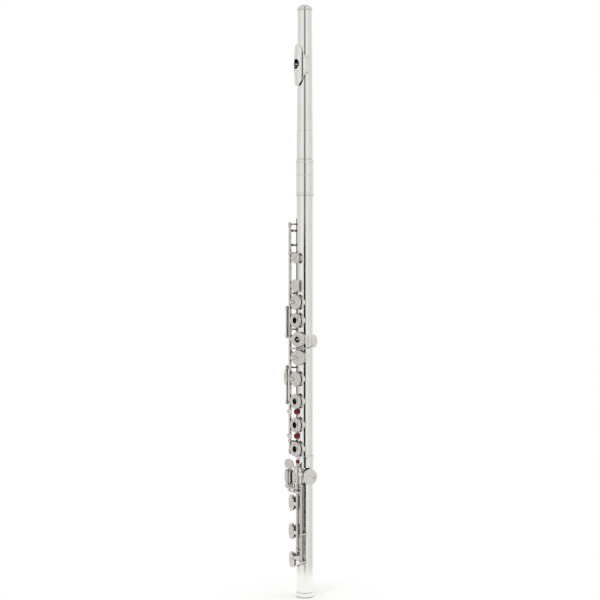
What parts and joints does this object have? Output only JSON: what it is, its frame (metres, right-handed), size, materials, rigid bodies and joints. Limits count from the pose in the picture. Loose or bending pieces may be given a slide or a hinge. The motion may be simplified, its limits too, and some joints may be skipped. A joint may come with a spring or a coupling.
{
  "type": "concert flute",
  "caption": "Concert flute with open-hole keys, offset G keys and a low B foot; the keys, rollers, tuning slide, crown and foot move.",
  "frame": {"origin": "centre of the open end of the foot, on the axis of the bore", "axes": "+Z along the bore towards the crown, -Y the side that the keys face, -X the player's side with the hinge rods"},
  "size_m": [0.045, 0.039, 0.72],
  "materials": {
    "silver_tube": "polished silver plate",
    "silver_keys": "polished silver plate",
    "silver_lip": "polished silver",
    "rod_steel": "turned stainless steel",
    "spring_steel": "blued needle steel",
    "pad_skin": "felt under a thin skin",
    "cork": "cork",
    "felt": "dense wool felt"
  },
  "bodies": {
    "body": {"body_tube": "silver_tube", "barrel": "silver_tube", "body_rib": "silver_keys", "body_posts": "silver_keys", "hinge_steels": "rod_steel", "pivot_screws": "rod_steel", "needle_springs": "spring_steel", "trill_felts": "felt"},
    "head": {"head_tube": "silver_tube", "lip_plate": "silver_lip", "riser": "silver_lip"},
    "crown": {"crown": "silver_lip"},
    "stopper": {"stopper_screw": "silver_lip", "stopper_cork": "cork", "stopper_nut": "silver_lip"},
    "ds_trill": {"ds_trill_key": "silver_keys", "ds_trill_pad": "pad_skin"},
    "d_trill": {"d_trill_key": "silver_keys", "d_trill_pad": "pad_skin"},
    "c": {"c_key": "silver_keys", "c_pad": "pad_skin"},
    "thumb_b": {"thumb_b_key": "silver_keys", "thumb_b_pad": "pad_skin"},
    "thumb_bb": {"thumb_bb_lever": "silver_keys"},
    "side_bb": {"side_bb_lever": "silver_keys"},
    "b_flat": {"b_flat_key": "silver_keys", "b_flat_pad": "pad_skin"},
    "a": {"a_key": "silver_keys", "a_pad": "pad_skin"},
    "g": {"g_key": "silver_keys", "g_pad": "pad_skin", "lower_g_key": "silver_keys", "lower_g_pad": "pad_skin", "g_steel": "rod_steel"},
    "g_sharp": {"g_sharp_key": "silver_keys", "g_sharp_pad": "pad_skin"},
    "f_sharp": {"f_sharp_key": "silver_keys", "f_sharp_pad": "pad_skin"},
    "f": {"f_key": "silver_keys", "f_pad": "pad_skin"},
    "e": {"e_key": "silver_keys", "e_pad": "pad_skin"},
    "d": {"d_key": "silver_keys", "d_pad": "pad_skin"},
    "foot": {"foot_tube": "silver_tube", "foot_rib": "silver_keys", "foot_posts": "silver_keys", "foot_screws": "rod_steel", "d_sharp_felt": "felt"},
    "d_sharp": {"d_sharp_key": "silver_keys", "d_sharp_pad": "pad_skin"},
    "low_cs": {"low_cs_key": "silver_keys", "low_cs_pad": "pad_skin"},
    "low_c": {"low_c_key": "silver_keys", "low_c_pad": "pad_skin", "low_c_touch": "silver_keys"},
    "c_roller": {"c_roller": "silver_keys"},
    "low_b": {"low_b_key": "silver_keys", "low_b_pad": "pad_skin"},
    "b_roller": {"b_roller": "silver_keys"}
  },
  "joints": [
    {"name": "tuning_slide", "type": "slide", "parent": "body", "child": "head", "axis": [0, 0, 1], "range_m": [0, 0.015]},
    {"name": "crown_turn", "type": "hinge", "parent": "head", "child": "crown", "pos_m": [0, 0, 0.7165], "axis": [0, 0, 1], "range_deg": [-363.8, 363.8]},
    {"name": "stopper_slide", "type": "slide", "parent": "head", "child": "stopper", "axis": [0, 0, 1], "range_m": [-0.001, 0.001]},
    {"name": "foot_turn", "type": "hinge", "parent": "body", "child": "foot", "pos_m": [0, 0, 0.165], "axis": [0, 0, 1], "range_deg": [-15, 15]},
    {"name": "ds_trill_hinge", "type": "hinge", "parent": "body", "child": "ds_trill", "pos_m": [-0.0152, -0.0106, 0.32], "axis": [0, 0, 1], "range_deg": [0, 9]},
    {"name": "d_trill_hinge", "type": "hinge", "parent": "body", "child": "d_trill", "pos_m": [-0.0152, -0.0106, 0.33], "axis": [0, 0, 1], "range_deg": [0, 9]},
    {"name": "c_hinge", "type": "hinge", "parent": "body", "child": "c", "pos_m": [-0.0117, -0.0135, 0.393], "axis": [0, 0, 1], "range_deg": [0, 6]},
    {"name": "thumb_b_hinge", "type": "hinge", "parent": "body", "child": "thumb_b", "pos_m": [-0.0193, -0.0116, 0.3407], "axis": [0, 0, 1], "range_deg": [-6, 0]},
    {"name": "thumb_bb_hinge", "type": "hinge", "parent": "body", "child": "thumb_bb", "pos_m": [-0.0193, -0.0116, 0.3254], "axis": [0, 0, 1], "range_deg": [-6, 0]},
    {"name": "side_bb_hinge", "type": "hinge", "parent": "body", "child": "side_bb", "pos_m": [-0.0193, -0.0116, 0.257], "axis": [0, 0, 1], "range_deg": [-8, 0]},
    {"name": "a_hinge", "type": "hinge", "parent": "body", "child": "a", "pos_m": [-0.0117, -0.0135, 0.3368], "axis": [0, 0, 1], "range_deg": [0, 6]},
    {"name": "b_flat_hinge", "type": "hinge", "parent": "body", "child": "b_flat", "pos_m": [-0.0117, -0.0135, 0.3572], "axis": [0, 0, 1], "range_deg": [0, 6]},
    {"name": "g_hinge", "type": "hinge", "parent": "body", "child": "g", "pos_m": [-0.0117, -0.0135, 0.302], "axis": [0, 0, 1], "range_deg": [0, 4.5]},
    {"name": "g_sharp_hinge", "type": "hinge", "parent": "body", "child": "g_sharp", "pos_m": [-0.0117, -0.0135, 0.3015], "axis": [0, 0, 1], "range_deg": [0, 6.5]},
    {"name": "f_hinge", "type": "hinge", "parent": "body", "child": "f", "pos_m": [-0.0117, -0.0135, 0.24], "axis": [0, 0, 1], "range_deg": [0, 6]},
    {"name": "f_sharp_hinge", "type": "hinge", "parent": "body", "child": "f_sharp", "pos_m": [-0.0117, -0.0135, 0.262], "axis": [0, 0, 1], "range_deg": [0, 6]},
    {"name": "e_hinge", "type": "hinge", "parent": "body", "child": "e", "pos_m": [-0.0117, -0.0135, 0.212], "axis": [0, 0, 1], "range_deg": [0, 6]},
    {"name": "d_hinge", "type": "hinge", "parent": "body", "child": "d", "pos_m": [-0.0117, -0.0135, 0.1875], "axis": [0, 0, 1], "range_deg": [0, 6]},
    {"name": "d_sharp_hinge", "type": "hinge", "parent": "foot", "child": "d_sharp", "pos_m": [0.00356, -0.0161, 0.148], "axis": [0, 0, 1], "range_deg": [-7, 0]},
    {"name": "low_cs_hinge", "type": "hinge", "parent": "foot", "child": "low_cs", "pos_m": [0.00356, -0.0161, 0.1197], "axis": [0, 0, 1], "range_deg": [-8.5, 0]},
    {"name": "low_c_hinge", "type": "hinge", "parent": "foot", "child": "low_c", "pos_m": [0.00356, -0.0161, 0.1055], "axis": [0, 0, 1], "range_deg": [-8.5, 0]},
    {"name": "c_roller_spin", "type": "hinge", "parent": "low_c", "child": "c_roller", "pos_m": [-0.01184, -0.0136, 0.1454], "axis": [0, 0, 1], "continuous": true},
    {"name": "low_b_hinge", "type": "hinge", "parent": "foot", "child": "low_b", "pos_m": [0.0076, -0.01408, 0.0855], "axis": [0, 0, 1], "range_deg": [-6.12, 0]},
    {"name": "b_roller_spin", "type": "hinge", "parent": "low_b", "child": "b_roller", "pos_m": [-0.01629, -0.01293, 0.1454], "axis": [0, 0, 1], "continuous": true}
  ],
  "couplings": [
    {"joint": "b_flat_hinge", "follows": "a_hinge", "ratio": 1},
    {"joint": "f_sharp_hinge", "follows": "f_hinge", "ratio": 1},
    {"joint": "crown_turn", "follows": "stopper_slide", "rad_per_m": 6283.2}
  ]
}
